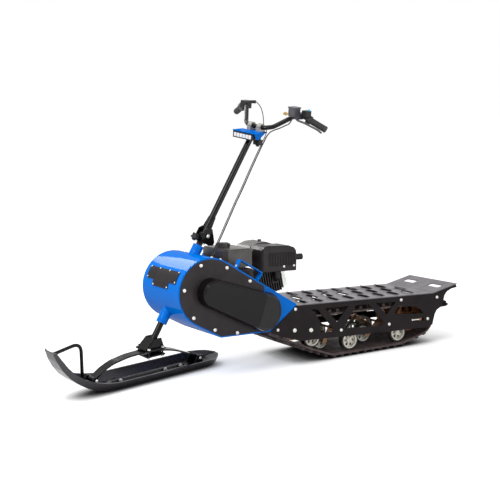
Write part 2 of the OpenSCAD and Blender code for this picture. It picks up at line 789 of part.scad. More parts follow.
module bar_clamps() {
    color("#B9AE9C") level() difference() {
        for (y = [-42, 18]) side(y, 24) union() {
            translate([-46, 21.2]) square([40, 20]);
            translate([-26, 41]) circle(r = 18, $fn = 40);
        }
        rod([-26, -60, 41], [-26, 60, 41], bar_r + 0.3);
        translate([-60, -60, 40.2]) cube([24, 120, 1.6]);
        translate([-16, -60, 40.2]) cube([24, 120, 1.6]);
    }
}

module lamp_visor() {
    color("#0A6FD2") level() union() {
        translate([-12, -74, 18.1]) cube([70, 148, 3]);
        translate([-46, -42, 18.1]) cube([40, 84, 3]);
        for (y = [-74, 71]) side(y, 3) polygon([[58, 20], [-12, 20], [-12, 16], [26, -10], [40, -10]]);
    }
}

module head_lamp() {
    color("#202022") level() difference() {
        union() {
            translate([38, -64, -13]) cube([26, 128, 29]);
            translate([26, -30, -8]) cube([14, 60, 20]);
            for (k = [0:8]) translate([32, -52 + 12.5*k, -9]) cube([8, 4, 21]);
            translate([20.8, -9, -4]) cube([10, 18, 12]);
        }
        for (k = [0:5]) translate([61, -58 + 19.6*k, -8]) cube([6, 18, 19]);
    }
}

lever_run = [[-100, 184, 108], [-98, 196, 94], [-116, 222, 86], [-157, 281, 56], [-163, 297, 44]];
module brake_control() {
    color("#8A8A8A") level() union() {
        difference() {
            union() {
                translate([-112, 160, 112]) cube([40, 40, 40]);
                translate([-114, 158, 150]) cube([44, 44, 6]);
                rod([-131, 180, 112.5], [-136.5, 196, 113], 17);
                translate([-130, 180, 98]) cube([40, 22, 22]);
            }
            hose(soften([for (i = [2:5]) bar_pts[i]], bar_bend, 5), bar_r + 0.2, 20, [0.2, 0.05, 1]);
        }
        hose(soften(lever_run, 9, 3), 5, 10);
    }
}

module throttle_control() {
    color("#202022") level() difference() {
        union() {
            rod_on(-1, 0.02, 0.33, 22);
            translate([-158, -206, 96]) cube([40, 38, 38]);
            rod([-150, -190, 126], [-186, -167, 127], 8);
            rod([-140, -206, 100], [-112, -184, 88], 5);
        }
        hose(soften([for (i = [2:5]) mirror_y(bar_pts[i])], bar_bend, 5), bar_r + 0.2, 20, [0.2, 0.05, 1]);
    }
}

module switch_unit() {
    color("#202022") level() {
        difference() {
            union() {
                rod_on(1, 0.2, 0.33, 21);
                translate([-150, 206, 112]) cube([34, 30, 30]);
            }
            rod_on(1, -0.1, 0.5, bar_r + 0.05);
        }
        translate([-36, 2, -45]) cube([26, 38, 25]);
        translate([-34, 12, -22]) cube([10, 18, 33.9]);
        translate([-23, 21, -53]) cylinder(h = 10, r = 9, $fn = 32);
    }
}

throttle_head = [
    [-94, -165, 1447], [-103, -140, 1433], [-101, -105, 1404], [-89, -65, 1365], [-74, -25, 1324],
    [-69, 8, 1303]
];
brake_head = [
    [-16.6, 176, 1379.8], [-23, 172, 1370], [-47, 145, 1352], [-60, 115, 1343], [-69, 78, 1326],
    [-74, 44, 1311], [-76, 26, 1296]
];
upper_run = [
    [-72, 23, 1236], [-70, 25, 1185], [-70, 28, 1080], [-70, 32, 994], [-65, 38, 912], [-61, 46, 827],
    [-55, 56, 741], [-52, 60, 712]
];
module cables_upper() {
    color("#141414") steered() union() {
        hose(soften(concat(throttle_head, [for (p = upper_run) p + [0, -9, 0]]), 12, 2), 2.2);
        hose(soften(concat(brake_head, upper_run), 12, 2), 3);
    }
}

lower_run = [[-52, 60, 711.5], [-49, 64, 682], [-45, 72, 630], [-43, 77, 598]];
module cables_lower() {
    color("#141414") steered() union() {
        hose([for (p = lower_run) p + [0, -9, 0]], 2.2);
        hose(lower_run, 3);
    }
}

drum_shell();
plate_left();
plate_right();
head_tube();
belt_cover();
name_panel();
side_handles();
engine_bed();
crankcase();
engine_cylinder();
rocker_cover();
fuel_tank();
fuel_cap();
muffler();
exhaust_pipe();
air_cleaner();
recoil_starter();
deck();
deck_side_left();
deck_side_right();
cross_tubes();
track_belt();
drive_wheels();
idler_wheels();
roller_hubs();
roller_tyres();
bogie_arms();
tow_bar();
steer_stem();
spring_clamp();
leaf_spring();
ski();
ski_fittings();
fold_knob();
column_tube();
handlebar();
grips();
bar_clamps();
lamp_visor();
head_lamp();
brake_control();
throttle_control();
switch_unit();
cables_upper();
cables_lower();
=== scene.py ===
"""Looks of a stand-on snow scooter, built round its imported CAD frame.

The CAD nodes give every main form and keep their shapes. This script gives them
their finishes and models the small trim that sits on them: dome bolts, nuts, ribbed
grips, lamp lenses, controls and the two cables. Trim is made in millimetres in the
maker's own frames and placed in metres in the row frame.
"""

from __future__ import annotations

import json
import logging
import math
from dataclasses import dataclass
from enum import Enum
from typing import Any

import bpy
from mathutils import Matrix, Vector

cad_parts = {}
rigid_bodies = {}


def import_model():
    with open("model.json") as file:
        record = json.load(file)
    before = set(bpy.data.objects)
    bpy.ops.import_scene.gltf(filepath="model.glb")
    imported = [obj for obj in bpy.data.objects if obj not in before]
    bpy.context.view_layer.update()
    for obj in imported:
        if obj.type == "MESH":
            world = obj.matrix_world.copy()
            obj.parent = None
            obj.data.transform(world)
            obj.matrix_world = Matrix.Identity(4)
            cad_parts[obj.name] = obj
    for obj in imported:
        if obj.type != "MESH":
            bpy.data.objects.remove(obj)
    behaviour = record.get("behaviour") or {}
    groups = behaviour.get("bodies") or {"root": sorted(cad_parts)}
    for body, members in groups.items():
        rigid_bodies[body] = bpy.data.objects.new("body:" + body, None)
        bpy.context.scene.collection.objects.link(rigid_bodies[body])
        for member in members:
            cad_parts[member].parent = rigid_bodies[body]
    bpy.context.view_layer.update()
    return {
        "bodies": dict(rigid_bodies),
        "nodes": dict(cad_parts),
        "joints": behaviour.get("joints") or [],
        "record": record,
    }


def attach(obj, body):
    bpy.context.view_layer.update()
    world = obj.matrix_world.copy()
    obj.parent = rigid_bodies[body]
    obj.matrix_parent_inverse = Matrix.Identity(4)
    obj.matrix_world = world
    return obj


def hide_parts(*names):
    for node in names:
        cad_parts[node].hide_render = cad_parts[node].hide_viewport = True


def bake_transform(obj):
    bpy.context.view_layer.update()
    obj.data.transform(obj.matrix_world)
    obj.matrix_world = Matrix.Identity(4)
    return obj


LOG = logging.getLogger("snow_scooter")
MM = 0.001
SMOOTH_ANGLE = math.radians(35)
COAT_ROUGHNESS = 0.06
Point = tuple[float, float, float]
Pair = tuple[float, float]


class Body(Enum):
    """Rigid bodies of the frame."""

    CHASSIS = "chassis"
    STEERING = "steering"
    COLUMN = "column"


class Zone(Enum):
    """Frames that trim is placed in."""

    DECK = "deck"
    STEERED = "steered"
    LEVEL = "level"
    SKI = "ski"


class Grain(Enum):
    """How a surface was made, which sets its relief."""

    SPRAYED = "sprayed"
    TEXTURED = "textured"
    MOULDED = "moulded"
    CAST = "cast"
    RUBBED = "rubbed"


@dataclass(frozen=True)
class Stance:
    """How the chassis, the steering and the bar stand, in millimetres and degrees."""

    nose_up: float = 2.5
    rake: float = 29.3
    turn: float = 18.0
    datum: Point = (-820.0, 0.0, -4.3)
    axis_foot: Point = (277.0, 0.0, 0.0)
    head_z: float = 1240.0
    sole_w: float = 110.0

    def matrix(self, zone: Zone) -> Matrix:
        """Gives the matrix from a zone's millimetres to the row frame's metres.

        Args:
            zone: the frame that points are given in.

        Returns:
            The 4x4 matrix.
        """
        deck = Matrix.Scale(MM, 4) @ self.about_y(-self.nose_up) @ Matrix.Translation(-Vector(self.datum))
        if zone is Zone.DECK:
            return deck
        steered = deck @ Matrix.Translation(self.axis_foot) @ self.about_y(-self.rake)
        steered = steered @ Matrix.Rotation(math.radians(self.turn), 4, "Z")
        lean = self.rake + self.nose_up
        if zone is Zone.LEVEL:
            return steered @ Matrix.Translation((0, 0, self.head_z)) @ self.about_y(lean)
        if zone is Zone.SKI:
            pitch, lift = self.ski_seat()
            return steered @ Matrix.Translation((0, 0, lift)) @ self.about_y(lean - pitch)
        return steered

    @staticmethod
    def about_y(degrees: float) -> Matrix:
        """Turns about the Y axis."""
        return Matrix.Rotation(math.radians(degrees), 4, "Y")

    def ski_seat(self) -> Pair:
        """Gives the ski's pitch in degrees and its sole's place along the steering axis."""
        nose, turn = math.radians(self.nose_up), math.radians(self.turn)
        lean = math.radians(self.rake + self.nose_up)
        over = math.cos(lean) ** 2 + math.sin(lean) ** 2 * math.cos(turn)
        pitch = math.atan(math.sin(lean) * math.cos(lean) * (1 - math.cos(turn)) / over)
        drop = self.sole_w / 2 * math.sin(lean) * math.sin(turn)
        run, rise = self.axis_foot[0] - self.datum[0], self.axis_foot[2] - self.datum[2]
        return math.degrees(pitch), (drop - run * math.sin(nose) - rise * math.cos(nose)) / math.cos(lean)

    def seat(self, zone: Zone, point: Point, axis: Point) -> Matrix:
        """Gives the matrix that stands a piece's Z axis along a direction at a point.

        Args:
            zone: the frame of the point and the direction.
            point: where the piece's origin goes.
            axis: where its Z axis points.

        Returns:
            The matrix to the row frame.
        """
        turn = Vector(axis).to_track_quat("Z", "Y").to_matrix().to_4x4()
        return self.matrix(zone) @ Matrix.Translation(point) @ turn


STANCE = Stance()


def linear(hex_colour: str) -> tuple[float, float, float, float]:
    """Turns an sRGB hex colour to linear values.

    Args:
        hex_colour: a colour such as "#0A6FD2".

    Returns:
        Red, green, blue and an alpha of 1.
    """
    parts = [int(hex_colour[i : i + 2], 16) / 255 for i in (1, 3, 5)]
    red, green, blue = (p / 12.92 if p <= 0.04045 else ((p + 0.055) / 1.055) ** 2.4 for p in parts)
    return red, green, blue, 1.0


def add_node(
    tree: bpy.types.NodeTree,
    kind: str,
    settings: dict[str | int, Any] | None = None,
    links: dict[str | int, bpy.types.NodeSocket] | None = None,
) -> bpy.types.Node:
    """Adds a node to a tree.

    Args:
        tree: the node tree.
        kind: Blender's name of the node type.
        settings: values by input name or number, or by property name.
        links: output sockets by the name or number of the input they go to.

    Returns:
        The new node.
    """
    node = tree.nodes.new(kind)
    for name, value in (settings or {}).items():
        if isinstance(name, str) and name not in node.inputs:
            setattr(node, name, value)
        else:
            node.inputs[name].default_value = value
    for name, socket in (links or {}).items():
        tree.links.new(socket, node.inputs[name])
    return node


@dataclass(frozen=True)
class Finish:
    """A real material and how its surface was made. Sizes are in millimetres."""

    name: str
    colour: str
    shade: str
    grain: Grain
    roughness: float
    spread: float = 0.06
    metallic: float = 0.0
    coat: float = 0.0
    specular: float = 0.5
    grain_mm: float = 3.0
    depth_mm: float = 0.1
    cloud_mm: float = 60.0
    stretch: Point = (1.0, 1.0, 1.0)

    def material(self) -> bpy.types.Material:
        """Builds the finish once and gives it out again after that.

        Returns:
            The material.
        """
        found = bpy.data.materials.get(self.name)
        if found is not None:
            return found
        made = bpy.data.materials.new(self.name)
        made.use_nodes = True
        tree = made.node_tree
        tree.nodes.clear()
        spot = add_node(tree, "ShaderNodeTexCoord").outputs["Object"]
        spot = add_node(tree, "ShaderNodeMapping", {"Scale": self.stretch}, {"Vector": spot}).outputs[0]
        cloud = add_node(
            tree,
            "ShaderNodeTexNoise",
            {"Scale": 1 / (self.cloud_mm * MM), "Detail": 5.0, "Roughness": 0.6},
            {"Vector": spot},
        ).outputs["Fac"]
        patch = add_node(
            tree, "ShaderNodeMapRange", {"From Min": 0.35, "From Max": 0.65}, {"Value": cloud}
        ).outputs["Result"]
        colour = add_node(
            tree,
            "ShaderNodeMix",
            {"data_type": "RGBA", 6: linear(self.shade), 7: linear(self.colour)},
            {0: patch},
        ).outputs[2]
        rough = add_node(
            tree,
            "ShaderNodeMapRange",
            {"To Min": self.roughness + self.spread, "To Max": self.roughness - self.spread},
            {"Value": patch},
        ).outputs["Result"]
        colour, rough = self.zones(tree, colour, rough)
        relief = add_node(
            tree,
            "ShaderNodeBump",
            {"Distance": self.depth_mm * MM},
            {"Height": self.height(tree, spot)},
        ).outputs["Normal"]
        shader = add_node(
            tree,
            "ShaderNodeBsdfPrincipled",
            {
                "Metallic": self.metallic, "Specular IOR Level": self.specular,
                "Coat Weight": self.coat, "Coat Roughness": COAT_ROUGHNESS,
            },
            {"Base Color": colour, "Roughness": rough, "Normal": relief},
        )
        add_node(tree, "ShaderNodeOutputMaterial", None, {"Surface": shader.outputs["BSDF"]})
        return made

    def zones(
        self, tree: bpy.types.NodeTree, colour: bpy.types.NodeSocket, rough: bpy.types.NodeSocket
    ) -> tuple[bpy.types.NodeSocket, bpy.types.NodeSocket]:
        """Leaves colour and roughness as they are: the whole piece is one zone.

        Args:
            tree: the material's tree.
            colour: the colour.
            rough: the roughness.

        Returns:
            Colour and roughness.
        """
        return colour, rough

    def height(self, tree: bpy.types.NodeTree, spot: bpy.types.NodeSocket) -> bpy.types.NodeSocket:
        """Makes the height of the surface's own relief.

        Args:
            tree: the material's tree.
            spot: the coordinates to read.

        Returns:
            The socket that carries the height.
        """
        scale = 1 / (self.grain_mm * MM)
        detail = {Grain.SPRAYED: 1.0, Grain.MOULDED: 3.0}.get(self.grain, 7.0)
        noise = add_node(
            tree, "ShaderNodeTexNoise", {"Scale": scale, "Detail": detail}, {"Vector": spot}
        ).outputs["Fac"]
        if self.grain not in (Grain.TEXTURED, Grain.CAST):
            return noise
        cells = add_node(
            tree, "ShaderNodeTexVoronoi", {"feature": "SMOOTH_F1", "Scale": scale}, {"Vector": spot}
        ).outputs["Distance"]
        return add_node(tree, "ShaderNodeMath", {"operation": "ADD"}, {0: noise, 1: cells}).outputs[0]


@dataclass(frozen=True)
class ProudFinish(Finish):
    """A finish that turns smooth and darker where the piece stands proud of its plate."""

    proud_mm: float = 198.0
    edge_mm: float = 2.0
    proud_colour: str = "#0C090A"
    proud_rough: float = 0.2
    ripple_mm: float = 14.0
    ripple_depth_mm: float = 0.5

    def zones(
        self, tree: bpy.types.NodeTree, colour: bpy.types.NodeSocket, rough: bpy.types.NodeSocket
    ) -> tuple[bpy.types.NodeSocket, bpy.types.NodeSocket]:
        """Mixes in the proud part's colour and roughness.

        Args:
            tree: the material's tree.
            colour: the plate's colour.
            rough: the plate's roughness.

        Returns:
            Colour and roughness over the whole piece.
        """
        share = self.share(tree, add_node(tree, "ShaderNodeTexCoord").outputs["Object"])
        colour = add_node(
            tree, "ShaderNodeMix", {"data_type": "RGBA", 7: linear(self.proud_colour)}, {0: share, 6: colour}
        ).outputs[2]
        rough = add_node(
            tree, "ShaderNodeMix", {"data_type": "FLOAT", 3: self.proud_rough}, {0: share, 2: rough}
        ).outputs[0]
        return colour, rough

    def share(self, tree: bpy.types.NodeTree, spot: bpy.types.NodeSocket) -> bpy.types.NodeSocket:
        """Tells the proud part from the plate.

        Args:
            tree: the material's tree.
            spot: the coordinates to read.

        Returns:
            The socket with 1 on the proud part and 0 on the plate.
        """
        side = add_node(tree, "ShaderNodeSeparateXYZ", None, {0: spot}).outputs["Y"]
        low, high = self.proud_mm - self.edge_mm, self.proud_mm + self.edge_mm
        reach = {"From Min": low * MM, "From Max": high * MM}
        return add_node(tree, "ShaderNodeMapRange", reach, {"Value": side}).outputs["Result"]

    def height(self, tree: bpy.types.NodeTree, spot: bpy.types.NodeSocket) -> bpy.types.NodeSocket:
        """Lays the slow ripple of formed plastic over the plate's grit.

        Args:
            tree: the material's tree.
            spot: the coordinates to read.

        Returns:
            The socket that carries the height.
        """
        ripple = add_node(
            tree, "ShaderNodeTexNoise", {"Scale": 1 / (self.ripple_mm * MM), "Detail": 2.0}, {"Vector": spot}
        ).outputs["Fac"]
        depth = self.ripple_depth_mm / self.depth_mm
        ripple = add_node(tree, "ShaderNodeMath", {"operation": "MULTIPLY", 1: depth}, {0: ripple}).outputs[0]
        return add_node(
            tree,
            "ShaderNodeMix",
            {"data_type": "FLOAT"},
            {0: self.share(tree, spot), 2: super().height(tree, spot), 3: ripple},
        ).outputs[0]


# Gloss polyester powder coat on sheet steel: deep even colour, faint orange peel, clear highlights.
BLUE_COAT = Finish(
    "gloss_blue_powder_coat", "#006ACA", "#0067C5", Grain.SPRAYED, 0.2, 0.03, coat=0.14, specular=0.0,
    grain_mm=6, depth_mm=0.008, cloud_mm=220,
)
# Fine-textured powder coat: a close leathery grit that breaks up every highlight.
BLACK_COAT = Finish(
    "textured_black_powder_coat", "#1F191B", "#191416", Grain.TEXTURED, 0.46, 0.06, specular=0.1,
    grain_mm=2.2, depth_mm=0.07,
)
# Belt cover: gritty coat on its flat plate, glossy and slightly rippled formed plastic on the bump.
COVER_COAT = ProudFinish(
    "textured_cover_coat", "#272124", "#211C1F", Grain.TEXTURED, 0.46, 0.06, specular=0.2,
    grain_mm=2.2, depth_mm=0.05,
)
# Satin black powder coat on the tread plate: its mauve-grey sheen is partly reflected and partly painted into
# a grey base colour, scuffed in patches.
DECK_COAT_PAINTED_SHEEN = Finish(
    "satin_black_coat_painted_sheen", "#5A5459", "#4C474C", Grain.TEXTURED, 0.36, 0.06, grain_mm=2.4, depth_mm=0.04,
    cloud_mm=90,
)
# Gloss black enamel on round tube: dark with a long clean streak.
TUBE_ENAMEL = Finish(
    "gloss_black_enamel", "#0E0C0D", "#0A090A", Grain.SPRAYED, 0.13, 0.03, specular=0.18,
    grain_mm=4, depth_mm=0.02,
)
# Die-cast engine aluminium painted dark: orange-skin relief, dull.
ENGINE_CAST = Finish(
    "painted_cast_alloy", "#2E2A2B", "#242021", Grain.CAST, 0.5, 0.08, metallic=0.3, specular=0.3, grain_mm=3,
    depth_mm=0.15,
)
# Heat-proof black paint on pressed steel: matt with a slight sheen.
ENGINE_BLACK = Finish(
    "heat_proof_black_paint", "#241F20", "#1C181A", Grain.SPRAYED, 0.4, 0.07, specular=0.2,
    grain_mm=3, depth_mm=0.06,
)
# Bare die-cast aluminium: pale and softly reflective.
ROCKER_ALLOY = Finish(
    "bare_cast_alloy", "#D8DAD4", "#BEC0BA", Grain.CAST, 0.4, 0.08, metallic=0.6, grain_mm=2.5, depth_mm=0.1
)
# Black polypropylene with a fine spark texture, a little faded.
TANK_PLASTIC = Finish(
    "moulded_black_polypropylene", "#38332F", "#2C2826", Grain.MOULDED, 0.36, 0.06,
    grain_mm=1.6, depth_mm=0.05,
)
# Brown-black carcass rubber of the track, dusty in patches.
TRACK_RUBBER = Finish(
    "vulcanised_track_rubber", "#554A49", "#403635", Grain.RUBBED, 0.7, 0.1, specular=0.25,
    grain_mm=9, depth_mm=0.4, cloud_mm=40,
)
# Black rubber of the roller tyres, rubbed dull.
TYRE_RUBBER = Finish(
    "vulcanised_tyre_rubber", "#1D1B1A", "#161413", Grain.RUBBED, 0.62, 0.08, grain_mm=5, depth_mm=0.1
)
# Off-white nylon hubs with soft moulding marks and grime.
HUB_NYLON = Finish(
    "off_white_nylon", "#E6E3DA", "#C9C4B6", Grain.MOULDED, 0.45, 0.08, grain_mm=4, depth_mm=0.08, cloud_mm=22
)
# Tan polyurethane wheels: waxy and slightly stained.
TAN_PLASTIC = Finish(
    "tan_polyurethane", "#A9713F", "#7C4E2A", Grain.MOULDED, 0.4, 0.08, grain_mm=5, depth_mm=0.1, cloud_mm=30
)
# Charcoal polyethylene ski: waxy sheen, long faint scratches along the way it runs.
SKI_PLASTIC = Finish(
    "charcoal_polyethylene", "#242126", "#1C191E", Grain.RUBBED, 0.28, 0.06, grain_mm=7, depth_mm=0.05,
    stretch=(0.15, 1.0, 1.0),
)
# Soft black grip rubber.
GRIP_RUBBER = Finish(
    "soft_grip_rubber", "#282526", "#1E1C1D", Grain.RUBBED, 0.6, 0.06, grain_mm=3, depth_mm=0.1
)
# Tumbled aluminium of the bar clamps, a warm light grey.
CLAMP_ALLOY = Finish(
    "tumbled_alloy", "#A9A49E", "#8C8781", Grain.CAST, 0.36, 0.07, metallic=0.4, grain_mm=2, depth_mm=0.06,
    cloud_mm=14,
)
# Black glass-filled nylon of the controls, lamp case and cables.
CONTROL_NYLON = Finish(
    "black_glass_filled_nylon", "#1C1A1B", "#151314", Grain.MOULDED, 0.42, 0.06, specular=0.35, grain_mm=1.5,
    depth_mm=0.05,
)
# Grey anodised brake reservoir and lever.
LEVER_ALLOY = Finish(
    "grey_anodised_alloy", "#55545B", "#46454B", Grain.SPRAYED, 0.36, 0.05, metallic=0.4,
    grain_mm=2, depth_mm=0.03,
)
# Zinc-plated steel of bolts and nuts: pale, bright, a little blotchy.
ZINC = Finish(
    "zinc_plated_steel", "#EFEDE8", "#CFCDC8", Grain.SPRAYED, 0.3, 0.08, metallic=0.35,
    grain_mm=2, depth_mm=0.03, cloud_mm=6,
)
# Yellow-passivated steel inside the track: brown-gold, smeared with grease.
PASSIVATED = Finish(
    "yellow_passivated_steel", "#9A7352", "#5E4531", Grain.SPRAYED, 0.36, 0.08, metallic=0.4, grain_mm=3,
    depth_mm=0.03, cloud_mm=25,
)
# Brass of the hose's banjo fitting.
BRASS = Finish(
    "turned_brass", "#CBA75C", "#A5823E", Grain.SPRAYED, 0.32, 0.08, metallic=0.8, grain_mm=2, depth_mm=0.02,
    cloud_mm=8,
)
# Frosted acrylic over the lamp's diodes.
LENS = Finish(
    "frosted_acrylic", "#D8D8DC", "#CCCCD2", Grain.MOULDED, 0.4, 0.04, specular=0.2,
    grain_mm=3, depth_mm=0.03, cloud_mm=30,
)
# Cyan push button of the switch block.
CYAN = Finish(
    "cyan_abs", "#2FC6DE", "#24A8BE", Grain.MOULDED, 0.3, 0.04, grain_mm=1.5, depth_mm=0.03, cloud_mm=8
)

SLOT_FINISH: dict[str, Finish] = {
    "blue_coat": BLUE_COAT,
    "black_coat": BLACK_COAT,
    "deck_coat": DECK_COAT_PAINTED_SHEEN,
    "engine_cast": ENGINE_CAST,
    "engine_black": ENGINE_BLACK,
    "rocker_alloy": ROCKER_ALLOY,
    "tank_plastic": TANK_PLASTIC,
    "track_rubber": TRACK_RUBBER,
    "tyre_rubber": TYRE_RUBBER,
    "hub_plastic": HUB_NYLON,
    "tan_plastic": TAN_PLASTIC,
    "ski_plastic": SKI_PLASTIC,
    "grip_rubber": GRIP_RUBBER,
    "clamp_alloy": CLAMP_ALLOY,
    "control_plastic": CONTROL_NYLON,
    "lever_alloy": LEVER_ALLOY,
    "lamp_case": CONTROL_NYLON,
}
NODE_FINISH: dict[str, Finish] = {
    "belt_cover": COVER_COAT, "bogie_arms": PASSIVATED, "cross_tubes": PASSIVATED,
}
TUBE_NODES = ("steer_stem", "column_tube", "handlebar", "leaf_spring", "spring_clamp", "ski_fittings")


class Bench:
    """Modelling steps that the pieces share."""

    @staticmethod
    def pick(obj: bpy.types.Object) -> None:
        """Makes one object the only selected and the active one."""
        bpy.ops.object.select_all(action="DESELECT")
        obj.select_set(True)
        bpy.context.view_layer.objects.active = obj

    @staticmethod
    def turned(rings: list[Pair], sides: int = 24) -> bpy.types.Object:
        """Turns a closed solid about Z, ring by ring, from one end disc to the other.

        Args:
            rings: radius and height of each ring. Where the radius stays, a wall goes up or
                down; where the height stays, a flat goes in or out.
            sides: the number of sides.

        Returns:
            The solid, in millimetres.
        """
        bpy.ops.object.select_all(action="DESELECT")
        radius, height = rings[0]
        bpy.ops.mesh.primitive_circle_add(
            vertices=sides, radius=radius, fill_type="NGON", location=(0, 0, height), enter_editmode=True
        )
        bpy.ops.mesh.select_all(action="SELECT")
        for wide, high in rings[1:]:
            bpy.ops.mesh.extrude_region_move(TRANSFORM_OT_translate={"value": (0, 0, high - height)})
            bpy.ops.transform.resize(value=(wide / radius, wide / radius, 1))
            radius, height = wide, high
        bpy.ops.mesh.select_all(action="SELECT")
        bpy.ops.mesh.normals_make_consistent(inside=False)
        bpy.ops.object.mode_set(mode="OBJECT")
        bpy.ops.object.transform_apply(location=True, rotation=True, scale=True)
        return bpy.context.object

    @staticmethod
    def copies(model: bpy.types.Object, places: list[Matrix]) -> bpy.types.Object:
        """Copies a model to several places, each with its own mesh, and joins the copies.

        Args:
            model: the piece, in millimetres at the origin. It is used up.
            places: matrices to the row frame.

        Returns:
            One object with all the copies.
        """
        made = []
        for place in places:
            one = model.copy()
            one.data = model.data.copy()
            one.data.transform(place)
            bpy.context.scene.collection.objects.link(one)
            made.append(one)
        bpy.data.objects.remove(model)
        Bench.pick(made[0])
        for one in made[1:]:
            one.select_set(True)
        if len(made) > 1:
            bpy.ops.object.join()
        return made[0]

    @staticmethod
    def seat(obj: bpy.types.Object, name: str, finish: Finish, body: Body, slot: str) -> None:
        """Names and dresses a finished piece and sets it on its body.

        Args:
            obj: the piece, with its place in its mesh.
            name: the piece's name.
            finish: its finish.
            body: the body it rides on.
            slot: the record's material slot; not used.
        """
        Bench.pick(obj)
        bpy.ops.object.shade_smooth_by_angle(angle=SMOOTH_ANGLE)
        obj.name = obj.data.name = name
        obj.data.materials.clear()
        obj.data.materials.append(finish.material())
        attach(obj, body.value)
        LOG.info("%s: %d faces on %s", name, len(obj.data.polygons), body.value)


@dataclass
class Fasteners:
    """Dome bolts and hex nuts, each group set on what it holds."""

    slot: str = "rocker_alloy"

    def dome(self, radius: float) -> bpy.types.Object:
        """Models a dome head with a socket, standing on the origin."""
        shape = ((1, 0), (1, 0.2), (0.94, 0.36), (0.8, 0.5), (0.58, 0.58), (0.42, 0.6), (0.38, 0.35))
        return Bench.turned([(radius * wide, radius * high) for wide, high in shape], 20)

    def nut(self, radius: float) -> bpy.types.Object:
        """Models a hex nut with a flange and the end of its bolt, standing on the origin."""
        shape = ((1.25, 0), (1.25, 0.15), (1, 0.15), (1, 0.85), (0.86, 0.98), (0.55, 0.98), (0.55, 1.2))
        return Bench.turned([(radius * wide, radius * high) for wide, high in shape], 6)

    def set(self, name: str, model: bpy.types.Object, body: Body, places: list[Matrix]) -> None:
        """Sets copies of one fastener.

        Args:
            name: the group's name.
            model: the fastener.
            body: the body that carries the group.
            places: where the copies go.
        """
        Bench.seat(Bench.copies(model, places), name, ZINC, body, self.slot)


@dataclass
class DrumBody:
    """Bolts on the drum, its name panel, the belt cover and the side handles."""

    fasteners: Fasteners
    cover_bolts: tuple[Pair, ...] = (
        (48, 494), (-86, 476), (-208, 406), (133, 385), (87, 256), (-23, 192), (-140, 169),
    )
    cover_y: float = 195.0
    panel_bolts: tuple[Pair, ...] = (
        (36.3, 144), (36.3, 50), (36.3, -50), (36.3, -144), (19, 144), (19, -144), (8.2, 72), (8.2, -72),
    )
    cover_bolt_r: float = 8.5
    panel_bolt_r: float = 4.0
    top_bolt_r: float = 6.5
    panel_r: float = 166.0
    drum_r: float = 163.0
    drum_z: float = 364.0
    top_bolts: tuple[float, ...] = (95.6, 112.0)
    top_y: float = 178.0
    strap_bolt: Point = (-146.6, 173.0, 479.0)
    strap_axis: Point = (0.904, 0.0, 0.427)

    def on_drum(self, angle: float, y: float, radius: float) -> Matrix:
        """Gives a place on the drum.

        Args:
            angle: degrees up from straight ahead.
            y: place across.
            radius: distance from the drum's axis.

        Returns:
            The matrix to the row frame, with Z pointing out.
        """
        out = Vector((math.cos(math.radians(angle)), 0, math.sin(math.radians(angle))))
        point = radius * out + Vector((0, y, self.drum_z))
        return STANCE.seat(Zone.DECK, tuple(point), tuple(out))

    def build(self) -> None:
        """Sets every bolt of the body."""
        seats = [STANCE.seat(Zone.DECK, (x, self.cover_y, z), (0, 1, 0)) for x, z in self.cover_bolts]
        self.fasteners.set("cover_bolts", self.fasteners.dome(self.cover_bolt_r), Body.CHASSIS, seats)
        seats = [self.on_drum(angle, y, self.panel_r) for angle, y in self.panel_bolts]
        self.fasteners.set("panel_bolts", self.fasteners.dome(self.panel_bolt_r), Body.CHASSIS, seats)
        seats = [
            self.on_drum(angle, way * self.top_y, self.drum_r) for angle in self.top_bolts for way in (1, -1)
        ]
        for way in (1, -1):
            x, y, z = self.strap_bolt
            seats.append(STANCE.seat(Zone.DECK, (x, way * y, z), self.strap_axis))
        self.fasteners.set("top_bolts", self.fasteners.dome(self.top_bolt_r), Body.CHASSIS, seats)


@dataclass
class DeckFrame:
    """Bolts and track adjusters of the two side plates."""

    fasteners: Fasteners
    small_bolts: tuple[Pair, ...] = (
        (-360, 162), (-723, 130), (-458, 254), (-1014, 134), (-1087, 252), (-1316, 249), (-1258, 142),
    )
    large_bolts: tuple[Pair, ...] = ((-454, 152), (-547, 145))
    small_r: float = 8.0
    large_r: float = 10.5
    face_y: float = 196.0
    slot: Point = (-1158.0, -1206.0, 142.0)
    rod_r: float = 4.0
    rod_y: float = 191.0
    rod_root: float = 0.82
    thread_pitch: float = 4.0
    collar: Pair = (1.5, 6.0)

    def build(self) -> None:
        """Sets the bolts and the adjusters on both sides."""
        for word, way in (("left", 1), ("right", -1)):
            for size, radius, rows in (
                ("small", self.small_r, self.small_bolts), ("large", self.large_r, self.large_bolts),
            ):
                seats = [STANCE.seat(Zone.DECK, (x, way * self.face_y, z), (0, way, 0)) for x, z in rows]
                model = self.fasteners.dome(radius)
                self.fasteners.set(f"side_bolts_{size}_{word}", model, Body.CHASSIS, seats)
            self.adjuster(word, way)

    def adjuster(self, word: str, way: int) -> None:
        """Models the threaded rod that draws the idler axle back along its slot.

        Args:
            word: the side's name.
            way: 1 on the left and -1 on the right.
        """
        front, rear, height = self.slot
        length, r, pitch = front - rear, self.rod_r, self.thread_pitch
        wide, thick = self.collar[0] * r, self.collar[1]
        root, first = self.rod_root * r, thick + pitch / 2
        rings: list[Pair] = [(wide, 0), (wide, thick), (r, thick)]
        for k in range(int((length - first) / pitch)):
            rings += [(r, first + pitch * k), (root, first + pitch * (k + 0.5))]
        rings.append((root, length))
        seat = STANCE.seat(Zone.DECK, (front, way * self.rod_y, height), (-1, 0, 0))
        rod = Bench.copies(Bench.turned(rings, 16), [seat])
        Bench.seat(rod, f"track_adjuster_{word}", ZINC, Body.CHASSIS, self.fasteners.slot)


